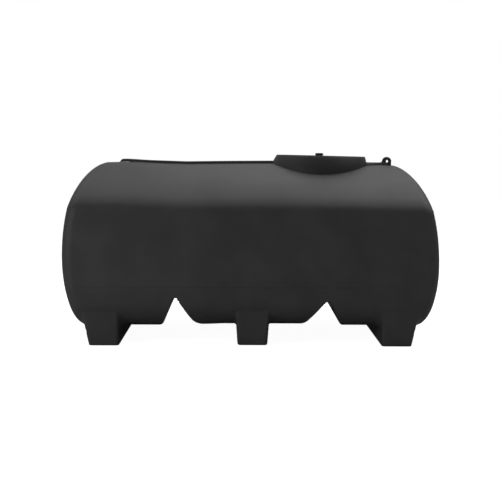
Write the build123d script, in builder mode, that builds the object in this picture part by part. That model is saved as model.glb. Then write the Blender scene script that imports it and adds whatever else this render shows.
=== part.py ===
"""Horizontal water tank in black moulded polyethylene, with a manhole on top and three saddle feet.

Frame in millimetres: X along the tank, Y across it with the front at minus Y, Z up from the ground.
"""

import os

from build123d import *

os.makedirs("parts", exist_ok=True)

# Moulded body
TANK_LENGTH = 2468.0
TANK_WIDTH = 1280.0
BODY_HEIGHT = 1065.0
BELLY_Z = 119.0
CROWN_Z = BELLY_Z + BODY_HEIGHT
WALL = 8.0
PARTING_Z = BELLY_Z + 271.0
ROOF_RADIUS = TANK_WIDTH * 0.69375
SHOULDER_ROUND = 95.0
HAUNCH_INSET = 28.0
HAUNCH_ROUND = 190.0
PARTING_ROUND = 300.0

# Bulged ends, each part of an ellipse seen from the side, closed to the flanks by a wide rounding.
# The right ellipse reaches lower and further in than the left one.
END_TOP_Z = CROWN_Z + 2.0
LEFT_END_DEPTH = 256.0
LEFT_END_LOW_Z = BELLY_Z - BODY_HEIGHT * 0.098
RIGHT_END_DEPTH = 280.0
RIGHT_END_LOW_Z = BELLY_Z - BODY_HEIGHT * 0.140
END_ROUND = 78.0
LEFT_END_X = LEFT_END_DEPTH - TANK_LENGTH / 2
RIGHT_END_X = TANK_LENGTH / 2 - RIGHT_END_DEPTH

# Saddle feet across the belly
FOOT_SPAN = TANK_WIDTH - 64.0
FOOT_SPAN_FLARE = 6.0
FOOT_LOFT_Z = BELLY_Z + 137.0
FOOT_CORNER_ROUND = 24.0
FOOT_SOLE_ROUND = 6.0
END_FOOT_WIDTH = 198.0
END_FOOT_INNER_X = TANK_LENGTH / 2 - 373.0
END_FOOT_OUTER_X = END_FOOT_INNER_X + END_FOOT_WIDTH
END_FOOT_OUTER_FLARE = 55.0
END_FOOT_INNER_FLARE = 4.0
MIDDLE_FOOT_X = 10.0
MIDDLE_FOOT_WIDTH = 187.0
MIDDLE_FOOT_FLARE = 42.0

# Grooves across the belly, each with a steep wall outwards and an easy one towards the middle
GROOVE_OUTWARD = 24.2476
GROOVE_X = (END_FOOT_INNER_X + MIDDLE_FOOT_WIDTH / 2) / 2 + GROOVE_OUTWARD
GROOVE_STEEP_ROUND = 40.0
GROOVE_APEX_ROUND = 24.0
LEFT_GROOVE_RISE = 222.0
LEFT_GROOVE_STEEP_REACH = 80.0
LEFT_GROOVE_EASY_REACH = 150.0
LEFT_GROOVE_EASY_ROUND = 125.0
RIGHT_GROOVE_RISE = 193.0
RIGHT_GROOVE_STEEP_REACH = 106.0
RIGHT_GROOVE_EASY_REACH = 156.0
RIGHT_GROOVE_EASY_ROUND = 70.0
GROOVE_REACH = 60.0
GROOVE_MARGIN = 40.0

# Ridge along the crown and the lifting eye at its end
RIDGE_WIDTH = 62.0
RIDGE_HEIGHT = 20.0
RIDGE_START_X = 317.0 - TANK_LENGTH / 2
RIDGE_RAMP = 24.0
RIDGE_TIP_HEIGHT = 3.0
RIDGE_EDGE_ROUND = 8.0
RIDGE_DEPTH = 30.0
EYE_LENGTH = 70.0
EYE_END_X = TANK_LENGTH / 2 - 243.0
EYE_START_X = EYE_END_X - EYE_LENGTH
EYE_HEIGHT = 48.0
EYE_LEDGE = 6.0
EYE_NECK = 12.0
EYE_HOLE_X = EYE_END_X - 30.0
EYE_HOLE_Z = CROWN_Z + 22.0
EYE_HOLE_RADIUS = 10.0
EYE_THICKNESS = 40.0
EYE_ROUND = 24.0
RIDGE_RIGHT_LENGTH = 119.1404

# Manhole neck
MANHOLE_RADIUS = 275.0
SEAT_WIDTH = 22.0
SEAT_RADIUS = MANHOLE_RADIUS + SEAT_WIDTH
RIM_WIDTH = 12.0
COLLAR_TOP_RADIUS = SEAT_RADIUS + RIM_WIDTH
COLLAR_SHOULDER_RADIUS = COLLAR_TOP_RADIUS + 22.0
COLLAR_BASE_RADIUS = COLLAR_TOP_RADIUS + 26.0
SHELF_RADIUS = COLLAR_TOP_RADIUS + 5.0
COLLAR_RIM_Z = CROWN_Z + 53.0
COLLAR_FOOT_Z = CROWN_Z - 94.0
COLLAR_RIM_ROUND = 4.0
SEAT_DEPTH = 21.0
SEAT_Z = COLLAR_RIM_Z - SEAT_DEPTH
MANHOLE_X = EYE_START_X - RIDGE_RIGHT_LENGTH - COLLAR_TOP_RADIUS

# Manhole lid and its gasket
GASKET_HEIGHT = 5.0
GASKET_WIDTH = 14.0
LID_CLEARANCE = 1.5
LID_PLATE = 8.0
LID_EDGE_HEIGHT = 15.0
LID_DOME_RISE = 5.0
LID_PLUG_DEPTH = 26.0
LID_PLUG_CLEARANCE = 6.0
LID_Z = SEAT_Z + GASKET_HEIGHT
LID_RADIUS = SEAT_RADIUS - LID_CLEARANCE
PLUG_RADIUS = MANHOLE_RADIUS - LID_PLUG_CLEARANCE

# Vent on the lid
VENT_X = MANHOLE_X - 10.0
VENT_BORE_RADIUS = 9.0
VENT_STEM_RADIUS = 22.0
VENT_CAP_RADIUS = 28.5
VENT_CAP_HEIGHT = 16.0
VENT_CAP_ROUND = 6.0
VENT_CAP_Z = LID_Z + 24.0

# Planes between the named segments of the shell
COLLAR_MARGIN = 28.0
ROOF_LEFT_EXTRA = 93.3582
LEFT_GROOVE_INSIDE = 66.0012
RIGHT_GROOVE_INSIDE = 72.0012
CENTRE_BELLY_X = (MIDDLE_FOOT_WIDTH / 2 + GROOVE_X) / 2
LEFT_END_PLANE = Plane.YZ.offset(LEFT_END_X)
RIGHT_END_PLANE = Plane.YZ.offset(RIGHT_END_X)
PARTING_PLANE = Plane.XY.offset(PARTING_Z)
EAVES_PLANE = Plane.XY.offset(CROWN_Z - BODY_HEIGHT * 0.312)
MIDDLE_PLANE = Plane.XZ
ROOF_RIGHT_X = MANHOLE_X - COLLAR_BASE_RADIUS - COLLAR_MARGIN
ROOF_LEFT_X = (LEFT_END_X + ROOF_RIGHT_X) / 2 + ROOF_LEFT_EXTRA
ROOF_LEFT_PLANE = Plane.YZ.offset(ROOF_LEFT_X)
ROOF_RIGHT_PLANE = Plane.YZ.offset(ROOF_RIGHT_X)
LEFT_GROOVE_OUTER_PLANE = Plane.YZ.offset(-GROOVE_X - LEFT_GROOVE_STEEP_REACH - GROOVE_REACH)
LEFT_GROOVE_INNER_PLANE = Plane.YZ.offset(LEFT_GROOVE_INSIDE - CENTRE_BELLY_X)
RIGHT_GROOVE_INNER_PLANE = Plane.YZ.offset(CENTRE_BELLY_X - RIGHT_GROOVE_INSIDE)
RIGHT_GROOVE_OUTER_PLANE = Plane.YZ.offset(GROOVE_X + RIGHT_GROOVE_STEEP_REACH + GROOVE_REACH)


def moulded_form(inset):
    """The tank as one solid, moved inwards by inset."""
    half_width = TANK_WIDTH / 2 - inset
    crown_z = CROWN_Z - inset
    belly_z = BELLY_Z + inset
    roof_radius = ROOF_RADIUS - inset
    eaves_z = crown_z - roof_radius + (roof_radius**2 - half_width**2) ** 0.5
    with BuildPart() as form:
        # the section across the tank, carried along it
        with BuildSketch(Plane.YZ.offset(-TANK_LENGTH / 2)) as section:
            with BuildLine():
                roof = ThreePointArc((-half_width, eaves_z), (0, crown_z), (half_width, eaves_z))
                Polyline(
                    roof @ 1,
                    (half_width, PARTING_Z),
                    (half_width - HAUNCH_INSET, belly_z),
                    (-half_width + HAUNCH_INSET, belly_z),
                    (-half_width, PARTING_Z),
                    roof @ 0,
                )
            make_face()
            fillet(section.vertices().group_by(Axis.Y)[-1], SHOULDER_ROUND - inset)
            fillet(section.vertices().group_by(Axis.Y)[0], HAUNCH_ROUND - inset)
            parting_kinks = section.vertices().filter_by(lambda vertex: abs(vertex.Y - PARTING_Z) < 1)
            fillet(parting_kinks, PARTING_ROUND)
        extrude(amount=TANK_LENGTH)
        # the side outline with its elliptical ends, carried across it
        with BuildSketch(Plane.XZ.offset(TANK_WIDTH)):
            with BuildLine():
                right_end = EllipticalCenterArc(
                    (RIGHT_END_X, (END_TOP_Z + RIGHT_END_LOW_Z) / 2),
                    RIGHT_END_DEPTH - inset,
                    (END_TOP_Z - RIGHT_END_LOW_Z) / 2 - inset,
                    start_angle=-90,
                    arc_size=180,
                )
                left_end = EllipticalCenterArc(
                    (LEFT_END_X, (END_TOP_Z + LEFT_END_LOW_Z) / 2),
                    LEFT_END_DEPTH - inset,
                    (END_TOP_Z - LEFT_END_LOW_Z) / 2 - inset,
                    start_angle=90,
                    arc_size=180,
                )
                Line(right_end @ 1, left_end @ 0)
                Line(left_end @ 1, right_end @ 0)
            make_face()
        extrude(amount=-2 * TANK_WIDTH, mode=Mode.INTERSECT)
        cap_x = TANK_LENGTH / 2 - LEFT_END_DEPTH / 2
        caps = form.faces().filter_by(lambda face: abs(face.center().X) > cap_x)
        fillet(caps.edges(), END_ROUND - inset)
    return form.part


def groove_cutter(inset, apex_x, rise, left_reach, left_round, right_reach, right_round):
    """A groove right across the belly, its walls moved into the body by inset."""
    left_lean = left_reach / rise
    right_lean = right_reach / rise
    # each wall moves sideways by its thickness, measured level
    left_shift = inset * (1 + left_lean**2) ** 0.5
    right_shift = inset * (1 + right_lean**2) ** 0.5
    lift = (left_shift + right_shift) / (left_lean + right_lean)
    top_x = apex_x - left_shift + left_lean * lift
    top_z = BELLY_Z + rise + lift
    foot_z = BELLY_Z + inset
    left_x = top_x - left_lean * (top_z - foot_z)
    right_x = top_x + right_lean * (top_z - foot_z)
    left_margin_x = left_x - left_round - GROOVE_REACH
    right_margin_x = right_x + right_round + GROOVE_REACH
    with BuildPart() as cutter:
        with BuildSketch(Plane.XZ.offset(TANK_WIDTH)) as outline:
            with BuildLine():
                Polyline(
                    (left_margin_x, foot_z - GROOVE_MARGIN),
                    (right_margin_x, foot_z - GROOVE_MARGIN),
                    (right_margin_x, foot_z),
                    (right_x, foot_z),
                    (top_x, top_z),
                    (left_x, foot_z),
                    (left_margin_x, foot_z),
                    close=True,
                )
            make_face()
            fillet(outline.vertices().sort_by(Axis.Y)[-1], GROOVE_APEX_ROUND + inset)
            fillet(outline.vertices().sort_by_distance((left_x, foot_z))[0], left_round - inset)
            fillet(outline.vertices().sort_by_distance((right_x, foot_z))[0], right_round - inset)
        extrude(amount=-2 * TANK_WIDTH)
    return cutter.part


def grooved_form(inset):
    """The tank form with both belly grooves pressed into it."""
    left_groove_cutter = groove_cutter(
        inset,
        -GROOVE_X,
        LEFT_GROOVE_RISE,
        LEFT_GROOVE_STEEP_REACH,
        GROOVE_STEEP_ROUND,
        LEFT_GROOVE_EASY_REACH,
        LEFT_GROOVE_EASY_ROUND,
    )
    right_groove_cutter = groove_cutter(
        inset,
        GROOVE_X,
        RIGHT_GROOVE_RISE,
        RIGHT_GROOVE_EASY_REACH,
        RIGHT_GROOVE_EASY_ROUND,
        RIGHT_GROOVE_STEEP_REACH,
        GROOVE_STEEP_ROUND,
    )
    smooth_form = moulded_form(inset)
    with BuildPart() as form:
        add(smooth_form)
        add([left_groove_cutter, right_groove_cutter], mode=Mode.SUBTRACT)
    return form.part


def foot_form(inset, low_x, high_x, low_flare, high_flare):
    """A saddle foot as one solid that widens upwards into the belly, moved inwards by inset."""
    top_low_x = low_x - low_flare + inset
    top_high_x = high_x + high_flare - inset
    bottom_span = FOOT_SPAN - 2 * inset
    with BuildPart() as form:
        with BuildSketch(Plane.XY.offset(inset)) as sole:
            with Locations(((low_x + high_x) / 2, 0)):
                Rectangle(high_x - low_x - 2 * inset, bottom_span)
            fillet(sole.vertices(), FOOT_CORNER_ROUND - inset)
        with BuildSketch(Plane.XY.offset(FOOT_LOFT_Z)) as root:
            with Locations(((top_low_x + top_high_x) / 2, 0)):
                Rectangle(top_high_x - top_low_x, bottom_span + 2 * FOOT_SPAN_FLARE)
            fillet(root.vertices(), FOOT_CORNER_ROUND - inset)
        loft()
    return form.part


def left_foot_form(inset):
    """The left end foot, its sloping wall outwards."""
    return foot_form(
        inset, -END_FOOT_OUTER_X, -END_FOOT_INNER_X, END_FOOT_OUTER_FLARE, END_FOOT_INNER_FLARE
    )


def middle_foot_form(inset):
    """The middle foot, sloping alike on both sides."""
    low_x = MIDDLE_FOOT_X - MIDDLE_FOOT_WIDTH / 2
    high_x = MIDDLE_FOOT_X + MIDDLE_FOOT_WIDTH / 2
    return foot_form(inset, low_x, high_x, MIDDLE_FOOT_FLARE, MIDDLE_FOOT_FLARE)


def right_foot_form(inset):
    """The right end foot, its sloping wall outwards."""
    return foot_form(
        inset, END_FOOT_INNER_X, END_FOOT_OUTER_X, END_FOOT_INNER_FLARE, END_FOOT_OUTER_FLARE
    )


# Outer form, its hollow, and the hollows of the three feet that open into it
outer_form = grooved_form(0)
inner_form = grooved_form(WALL)
foot_hollows = [left_foot_form(WALL), middle_foot_form(WALL), right_foot_form(WALL)]

# One shell for the whole body, open at the manhole and into the feet
with BuildPart() as shell:
    add(outer_form)
    add(inner_form, mode=Mode.SUBTRACT)
    add(foot_hollows, mode=Mode.SUBTRACT)
    with Locations((MANHOLE_X, 0, CROWN_Z)):
        Cylinder(COLLAR_BASE_RADIUS - WALL, 2 * (CROWN_Z - COLLAR_FOOT_Z), mode=Mode.SUBTRACT)

with BuildPart() as upper_shell:
    add(shell.part)
    split(bisect_by=PARTING_PLANE, keep=Keep.TOP)

with BuildPart() as lower_shell:
    add(shell.part)
    split(bisect_by=PARTING_PLANE, keep=Keep.BOTTOM)

# Roof over the left part
with BuildPart() as roof_left:
    add(upper_shell.part)
    split(bisect_by=EAVES_PLANE, keep=Keep.TOP)
    split(bisect_by=LEFT_END_PLANE, keep=Keep.TOP)
    split(bisect_by=ROOF_LEFT_PLANE, keep=Keep.BOTTOM)
roof_left.part.label = "roof_left"
export_step(roof_left.part, "parts/roof_left.step")

# Roof over the middle
with BuildPart() as roof_centre:
    add(upper_shell.part)
    split(bisect_by=EAVES_PLANE, keep=Keep.TOP)
    split(bisect_by=ROOF_LEFT_PLANE, keep=Keep.TOP)
    split(bisect_by=ROOF_RIGHT_PLANE, keep=Keep.BOTTOM)
roof_centre.part.label = "roof_centre"
export_step(roof_centre.part, "parts/roof_centre.step")

# Roof with the manhole through it
with BuildPart() as roof_manhole:
    add(upper_shell.part)
    split(bisect_by=EAVES_PLANE, keep=Keep.TOP)
    split(bisect_by=ROOF_RIGHT_PLANE, keep=Keep.TOP)
    split(bisect_by=RIGHT_END_PLANE, keep=Keep.BOTTOM)
roof_manhole.part.label = "roof_manhole"
export_step(roof_manhole.part, "parts/roof_manhole.step")

# Front flank from the parting line to the eaves
with BuildPart() as front_wall:
    add(upper_shell.part)
    split(bisect_by=EAVES_PLANE, keep=Keep.BOTTOM)
    split(bisect_by=LEFT_END_PLANE, keep=Keep.TOP)
    split(bisect_by=RIGHT_END_PLANE, keep=Keep.BOTTOM)
    split(bisect_by=MIDDLE_PLANE, keep=Keep.TOP)
front_wall.part.label = "front_wall"
export_step(front_wall.part, "parts/front_wall.step")

# Rear flank from the parting line to the eaves
with BuildPart() as rear_wall:
    add(upper_shell.part)
    split(bisect_by=EAVES_PLANE, keep=Keep.BOTTOM)
    split(bisect_by=LEFT_END_PLANE, keep=Keep.TOP)
    split(bisect_by=RIGHT_END_PLANE, keep=Keep.BOTTOM)
    split(bisect_by=MIDDLE_PLANE, keep=Keep.BOTTOM)
rear_wall.part.label = "rear_wall"
export_step(rear_wall.part, "parts/rear_wall.step")

# Left bulged end above the parting line
with BuildPart() as left_end:
    add(upper_shell.part)
    split(bisect_by=LEFT_END_PLANE, keep=Keep.BOTTOM)
left_end.part.label = "left_end"
export_step(left_end.part, "parts/left_end.step")

# Right bulged end above the parting line
with BuildPart() as right_end:
    add(upper_shell.part)
    split(bisect_by=RIGHT_END_PLANE, keep=Keep.TOP)
right_end.part.label = "right_end"
export_step(right_end.part, "parts/right_end.step")

# Left end below the parting line
with BuildPart() as left_end_base:
    add(lower_shell.part)
    split(bisect_by=LEFT_END_PLANE, keep=Keep.BOTTOM)
left_end_base.part.label = "left_end_base"
export_step(left_end_base.part, "parts/left_end_base.step")

# Belly between the left end and its groove
with BuildPart() as left_belly:
    add(lower_shell.part)
    split(bisect_by=LEFT_END_PLANE, keep=Keep.TOP)
    split(bisect_by=LEFT_GROOVE_OUTER_PLANE, keep=Keep.BOTTOM)
left_belly.part.label = "left_belly"
export_step(left_belly.part, "parts/left_belly.step")

# Belly with the left groove
with BuildPart() as left_groove:
    add(lower_shell.part)
    split(bisect_by=LEFT_GROOVE_OUTER_PLANE, keep=Keep.TOP)
    split(bisect_by=LEFT_GROOVE_INNER_PLANE, keep=Keep.BOTTOM)
left_groove.part.label = "left_groove"
export_step(left_groove.part, "parts/left_groove.step")

# Belly between the grooves
with BuildPart() as centre_belly:
    add(lower_shell.part)
    split(bisect_by=LEFT_GROOVE_INNER_PLANE, keep=Keep.TOP)
    split(bisect_by=RIGHT_GROOVE_INNER_PLANE, keep=Keep.BOTTOM)
centre_belly.part.label = "centre_belly"
export_step(centre_belly.part, "parts/centre_belly.step")

# Belly with the right groove
with BuildPart() as right_groove:
    add(lower_shell.part)
    split(bisect_by=RIGHT_GROOVE_INNER_PLANE, keep=Keep.TOP)
    split(bisect_by=RIGHT_GROOVE_OUTER_PLANE, keep=Keep.BOTTOM)
right_groove.part.label = "right_groove"
export_step(right_groove.part, "parts/right_groove.step")

# Belly between the right groove and its end
with BuildPart() as right_belly:
    add(lower_shell.part)
    split(bisect_by=RIGHT_GROOVE_OUTER_PLANE, keep=Keep.TOP)
    split(bisect_by=RIGHT_END_PLANE, keep=Keep.BOTTOM)
right_belly.part.label = "right_belly"
export_step(right_belly.part, "parts/right_belly.step")

# Right end below the parting line
with BuildPart() as right_end_base:
    add(lower_shell.part)
    split(bisect_by=RIGHT_END_PLANE, keep=Keep.TOP)
right_end_base.part.label = "right_end_base"
export_step(right_end_base.part, "parts/right_end_base.step")

# Left saddle foot, a hollow tray whose upper edge follows the belly
left_foot_solid = left_foot_form(0)
left_foot_hollow = left_foot_form(WALL)
with BuildPart() as left_foot:
    add(left_foot_solid)
    fillet(left_foot.edges().group_by(Axis.Z)[0], FOOT_SOLE_ROUND)
    add(left_foot_hollow, mode=Mode.SUBTRACT)
    add(outer_form, mode=Mode.SUBTRACT)
left_foot.part.label = "left_foot"
export_step(left_foot.part, "parts/left_foot.step")

# Middle saddle foot
middle_foot_solid = middle_foot_form(0)
middle_foot_hollow = middle_foot_form(WALL)
with BuildPart() as middle_foot:
    add(middle_foot_solid)
    fillet(middle_foot.edges().group_by(Axis.Z)[0], FOOT_SOLE_ROUND)
    add(middle_foot_hollow, mode=Mode.SUBTRACT)
    add(outer_form, mode=Mode.SUBTRACT)
middle_foot.part.label = "middle_foot"
export_step(middle_foot.part, "parts/middle_foot.step")

# Right saddle foot
right_foot_solid = right_foot_form(0)
right_foot_hollow = right_foot_form(WALL)
with BuildPart() as right_foot:
    add(right_foot_solid)
    fillet(right_foot.edges().group_by(Axis.Z)[0], FOOT_SOLE_ROUND)
    add(right_foot_hollow, mode=Mode.SUBTRACT)
    add(outer_form, mode=Mode.SUBTRACT)
right_foot.part.label = "right_foot"
export_step(right_foot.part, "parts/right_foot.step")

# Manhole collar, a moulded neck that leans in to its rim, with a seat for the lid just below
with BuildPart() as collar_ring:
    with BuildSketch(Plane.XZ) as collar_profile:
        with BuildLine():
            flank = ThreePointArc(
                (COLLAR_BASE_RADIUS, COLLAR_FOOT_Z),
                (COLLAR_SHOULDER_RADIUS, CROWN_Z),
                (COLLAR_TOP_RADIUS, COLLAR_RIM_Z),
            )
            lining = ThreePointArc(
                (SHELF_RADIUS, SEAT_Z - WALL),
                (COLLAR_SHOULDER_RADIUS - WALL, CROWN_Z - WALL),
                (COLLAR_BASE_RADIUS - WALL, COLLAR_FOOT_Z),
            )
            Polyline(
                flank @ 1,
                (SEAT_RADIUS, COLLAR_RIM_Z),
                (SEAT_RADIUS, SEAT_Z),
                (MANHOLE_RADIUS, SEAT_Z),
                (MANHOLE_RADIUS, SEAT_Z - WALL),
                lining @ 0,
            )
            Line(lining @ 1, flank @ 0)
        make_face()
        fillet(collar_profile.vertices().group_by(Axis.Y)[-1], COLLAR_RIM_ROUND)
    revolve(axis=Axis.Z)

# The same neck as a plug, for the pieces that end against it
with BuildPart() as collar_plug:
    with BuildSketch(Plane.XZ):
        with BuildLine():
            flank = ThreePointArc(
                (COLLAR_BASE_RADIUS, COLLAR_FOOT_Z),
                (COLLAR_SHOULDER_RADIUS, CROWN_Z),
                (COLLAR_TOP_RADIUS, COLLAR_RIM_Z),
            )
            Polyline(flank @ 1, (0, COLLAR_RIM_Z), (0, COLLAR_FOOT_Z), flank @ 0)
        make_face()
    revolve(axis=Axis.Z)

with BuildPart() as manhole_collar:
    add(Pos(MANHOLE_X, 0, 0) * collar_ring.part)
    add(outer_form, mode=Mode.SUBTRACT)
manhole_collar.part.label = "manhole_collar"
export_step(manhole_collar.part, "parts/manhole_collar.step")

# Gasket ring on the seat
with BuildPart() as lid_gasket:
    with Locations((MANHOLE_X, 0, SEAT_Z)):
        Cylinder(
            MANHOLE_RADIUS + GASKET_WIDTH,
            GASKET_HEIGHT,
            align=(Align.CENTER, Align.CENTER, Align.MIN),
        )
        Cylinder(
            MANHOLE_RADIUS,
            GASKET_HEIGHT,
            align=(Align.CENTER, Align.CENTER, Align.MIN),
            mode=Mode.SUBTRACT,
        )
lid_gasket.part.label = "lid_gasket"
export_step(lid_gasket.part, "parts/lid_gasket.step")

# Manhole lid, a shallow dome with a plug ring that reaches into the neck
with BuildPart() as lid_disc:
    with BuildSketch(Plane.XZ):
        with BuildLine():
            dome = ThreePointArc(
                (LID_RADIUS, LID_Z + LID_EDGE_HEIGHT),
                (LID_RADIUS / 2, LID_Z + LID_EDGE_HEIGHT + LID_DOME_RISE * 0.75),
                (0, LID_Z + LID_EDGE_HEIGHT + LID_DOME_RISE),
            )
            Polyline(
                dome @ 1,
                (0, LID_Z + LID_EDGE_HEIGHT + LID_DOME_RISE - LID_PLATE),
                (PLUG_RADIUS - LID_PLATE, LID_Z + LID_EDGE_HEIGHT - LID_PLATE),
                (PLUG_RADIUS - LID_PLATE, LID_Z - LID_PLUG_DEPTH),
                (PLUG_RADIUS, LID_Z - LID_PLUG_DEPTH),
                (PLUG_RADIUS, LID_Z),
                (LID_RADIUS, LID_Z),
                dome @ 0,
            )
        make_face()
    revolve(axis=Axis.Z)

with BuildPart() as manhole_lid:
    add(Pos(MANHOLE_X, 0, 0) * lid_disc.part)
    with Locations((VENT_X, 0, LID_Z)):
        Cylinder(VENT_STEM_RADIUS, 4 * LID_EDGE_HEIGHT, mode=Mode.SUBTRACT)
manhole_lid.part.label = "manhole_lid"
export_step(manhole_lid.part, "parts/manhole_lid.step")

# Vent stem through the lid, open along its middle
with BuildPart() as vent_stem:
    with Locations((VENT_X, 0, LID_Z)):
        Cylinder(
            VENT_STEM_RADIUS,
            VENT_CAP_Z - LID_Z,
            align=(Align.CENTER, Align.CENTER, Align.MIN),
        )
        Cylinder(
            VENT_BORE_RADIUS,
            VENT_CAP_Z - LID_Z,
            align=(Align.CENTER, Align.CENTER, Align.MIN),
            mode=Mode.SUBTRACT,
        )
vent_stem.part.label = "vent_stem"
export_step(vent_stem.part, "parts/vent_stem.step")

# Vent cap
with BuildPart() as vent_cap:
    with Locations((VENT_X, 0, VENT_CAP_Z)):
        Cylinder(
            VENT_CAP_RADIUS,
            VENT_CAP_HEIGHT,
            align=(Align.CENTER, Align.CENTER, Align.MIN),
        )
    fillet(vent_cap.edges().group_by(Axis.Z)[-1], VENT_CAP_ROUND)
vent_cap.part.label = "vent_cap"
export_step(vent_cap.part, "parts/vent_cap.step")

# Ridge along the crown, cut to the roof below it
def ridge_part(start_x, end_x, ramp):
    """A length of the crown ridge, with a ramp up at its left end."""
    with BuildPart() as ridge:
        with BuildSketch(Plane.XZ.offset(-RIDGE_WIDTH / 2)):
            with BuildLine():
                Polyline(
                    (start_x, CROWN_Z - RIDGE_DEPTH),
                    (start_x, CROWN_Z + RIDGE_TIP_HEIGHT),
                    (start_x + ramp, CROWN_Z + RIDGE_HEIGHT),
                    (end_x, CROWN_Z + RIDGE_HEIGHT),
                    (end_x, CROWN_Z - RIDGE_DEPTH),
                    close=True,
                )
            make_face()
        extrude(amount=RIDGE_WIDTH)
        fillet(ridge.edges().filter_by(Axis.X).group_by(Axis.Z)[-1], RIDGE_EDGE_ROUND)
        add(outer_form, mode=Mode.SUBTRACT)
    return ridge.part


with BuildPart() as ridge_left:
    add(ridge_part(RIDGE_START_X, MANHOLE_X - COLLAR_TOP_RADIUS, RIDGE_RAMP))
    add(Pos(MANHOLE_X, 0, 0) * collar_plug.part, mode=Mode.SUBTRACT)
ridge_left.part.label = "ridge_left"
export_step(ridge_left.part, "parts/ridge_left.step")

with BuildPart() as ridge_right:
    add(ridge_part(MANHOLE_X + COLLAR_TOP_RADIUS, EYE_START_X, RIDGE_RAMP))
    add(Pos(MANHOLE_X, 0, 0) * collar_plug.part, mode=Mode.SUBTRACT)
ridge_right.part.label = "ridge_right"
export_step(ridge_right.part, "parts/ridge_right.step")

# Lifting eye
with BuildPart() as lifting_eye:
    with BuildSketch(Plane.XZ.offset(-EYE_THICKNESS / 2)) as eye_outline:
        with BuildLine():
            Polyline(
                (EYE_START_X, CROWN_Z - RIDGE_DEPTH),
                (EYE_START_X, CROWN_Z + RIDGE_HEIGHT),
                (EYE_START_X + EYE_LEDGE, CROWN_Z + RIDGE_HEIGHT + RIDGE_TIP_HEIGHT),
                (EYE_START_X + EYE_NECK, CROWN_Z + EYE_HEIGHT),
                (EYE_END_X, CROWN_Z + EYE_HEIGHT),
                (EYE_END_X, CROWN_Z - RIDGE_DEPTH),
                close=True,
            )
        make_face()
        fillet(eye_outline.vertices().group_by(Axis.Y)[-1], EYE_ROUND)
        with Locations((EYE_HOLE_X, EYE_HOLE_Z)):
            Circle(EYE_HOLE_RADIUS, mode=Mode.SUBTRACT)
    extrude(amount=EYE_THICKNESS)
    add(outer_form, mode=Mode.SUBTRACT)
lifting_eye.part.label = "lifting_eye"
export_step(lifting_eye.part, "parts/lifting_eye.step")
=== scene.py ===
"""Dresses the horizontal water tank: one seamless black moulding, its manhole lid and vent, under studio light.

Lengths are in metres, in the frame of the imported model: X along the tank, Y across it with the front at
minus Y, Z up from the ground.
"""

from __future__ import annotations

import logging
import math
from dataclasses import dataclass
from enum import Enum

import bpy
import numpy as np
from mathutils import Matrix, Vector

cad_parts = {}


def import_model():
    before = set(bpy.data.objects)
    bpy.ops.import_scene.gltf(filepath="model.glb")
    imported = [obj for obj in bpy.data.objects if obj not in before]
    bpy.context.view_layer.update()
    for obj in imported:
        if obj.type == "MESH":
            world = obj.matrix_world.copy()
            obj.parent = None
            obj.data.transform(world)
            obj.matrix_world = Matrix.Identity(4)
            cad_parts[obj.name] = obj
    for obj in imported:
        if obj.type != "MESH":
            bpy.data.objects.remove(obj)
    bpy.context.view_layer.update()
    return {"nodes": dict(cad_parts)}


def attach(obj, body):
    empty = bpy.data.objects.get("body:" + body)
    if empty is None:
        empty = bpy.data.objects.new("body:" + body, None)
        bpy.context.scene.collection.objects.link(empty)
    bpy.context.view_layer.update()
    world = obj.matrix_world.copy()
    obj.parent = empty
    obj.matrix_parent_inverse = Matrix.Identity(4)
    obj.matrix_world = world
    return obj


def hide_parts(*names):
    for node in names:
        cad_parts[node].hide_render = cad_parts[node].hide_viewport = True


log = logging.getLogger("tank")

Array = np.ndarray
Piece = bpy.types.Object
Pair = tuple[float, float]
Triple = tuple[float, float, float]
Row = tuple[float, ...]

BODY = "root"
TURN = 2 * math.pi
QUARTER = math.pi / 2
TINY = 1e-9
SMALL = 1e-6


# --- distances

# Limits that keep the rolled edge of two nearly parallel skins from dividing by nought.
NOT_OPPOSED = 0.9999
NOT_PARALLEL = 0.999999
LEAST_SQUARE = 1e-5


@dataclass
class Skin:
    """Signed distances of many points to a surface, negative inside, and the outward directions there."""

    distance: Array
    normal: Array

    def turned(self) -> Skin:
        """The same surface with inside and outside swapped."""
        return Skin(-self.distance, -self.normal)


def meet(first: Skin, second: Skin, radius: float) -> Skin:
    """The space inside both skins, its edge rolled round by a ball.

    The ball touches both skins from inside. With u and v the distances plus the radius, and c the cosine
    between the two outward directions, a point belongs to the rolled edge where u > v c and v > u c. Its
    distance from the ball's path is the length of the vector whose components along the two directions
    are u and v.

    Args:
        first: one skin.
        second: the other skin, for the same points.
        radius: radius of the rolled edge.

    Returns:
        The joint skin.
    """
    takes_second = second.distance > first.distance
    distance = np.where(takes_second, second.distance, first.distance)
    normal = np.where(takes_second[:, None], second.normal, first.normal)
    if radius <= 0:
        return Skin(distance, normal)
    u = first.distance + radius
    v = second.distance + radius
    c = np.clip(np.sum(first.normal * second.normal, axis=1), -NOT_OPPOSED, NOT_PARALLEL)
    square = 1 - c * c
    rolled = (u > v * c) & (v > u * c) & (square > LEAST_SQUARE)
    along_first = np.where(rolled, (u - v * c) / square, 0)
    along_second = np.where(rolled, (v - u * c) / square, 0)
    spoke = along_first[:, None] * first.normal + along_second[:, None] * second.normal
    length = np.linalg.norm(spoke, axis=1)
    safe = np.where(length > 0, length, 1)
    distance = np.where(rolled, length - radius, distance)
    normal = np.where(rolled[:, None], spoke / safe[:, None], normal)
    return Skin(distance, normal)


def join(first: Skin, second: Skin, radius: float) -> Skin:
    """The space inside either skin, with a hollow fillet where they cross: meet with both turned."""
    return meet(first.turned(), second.turned(), radius).turned()


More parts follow.
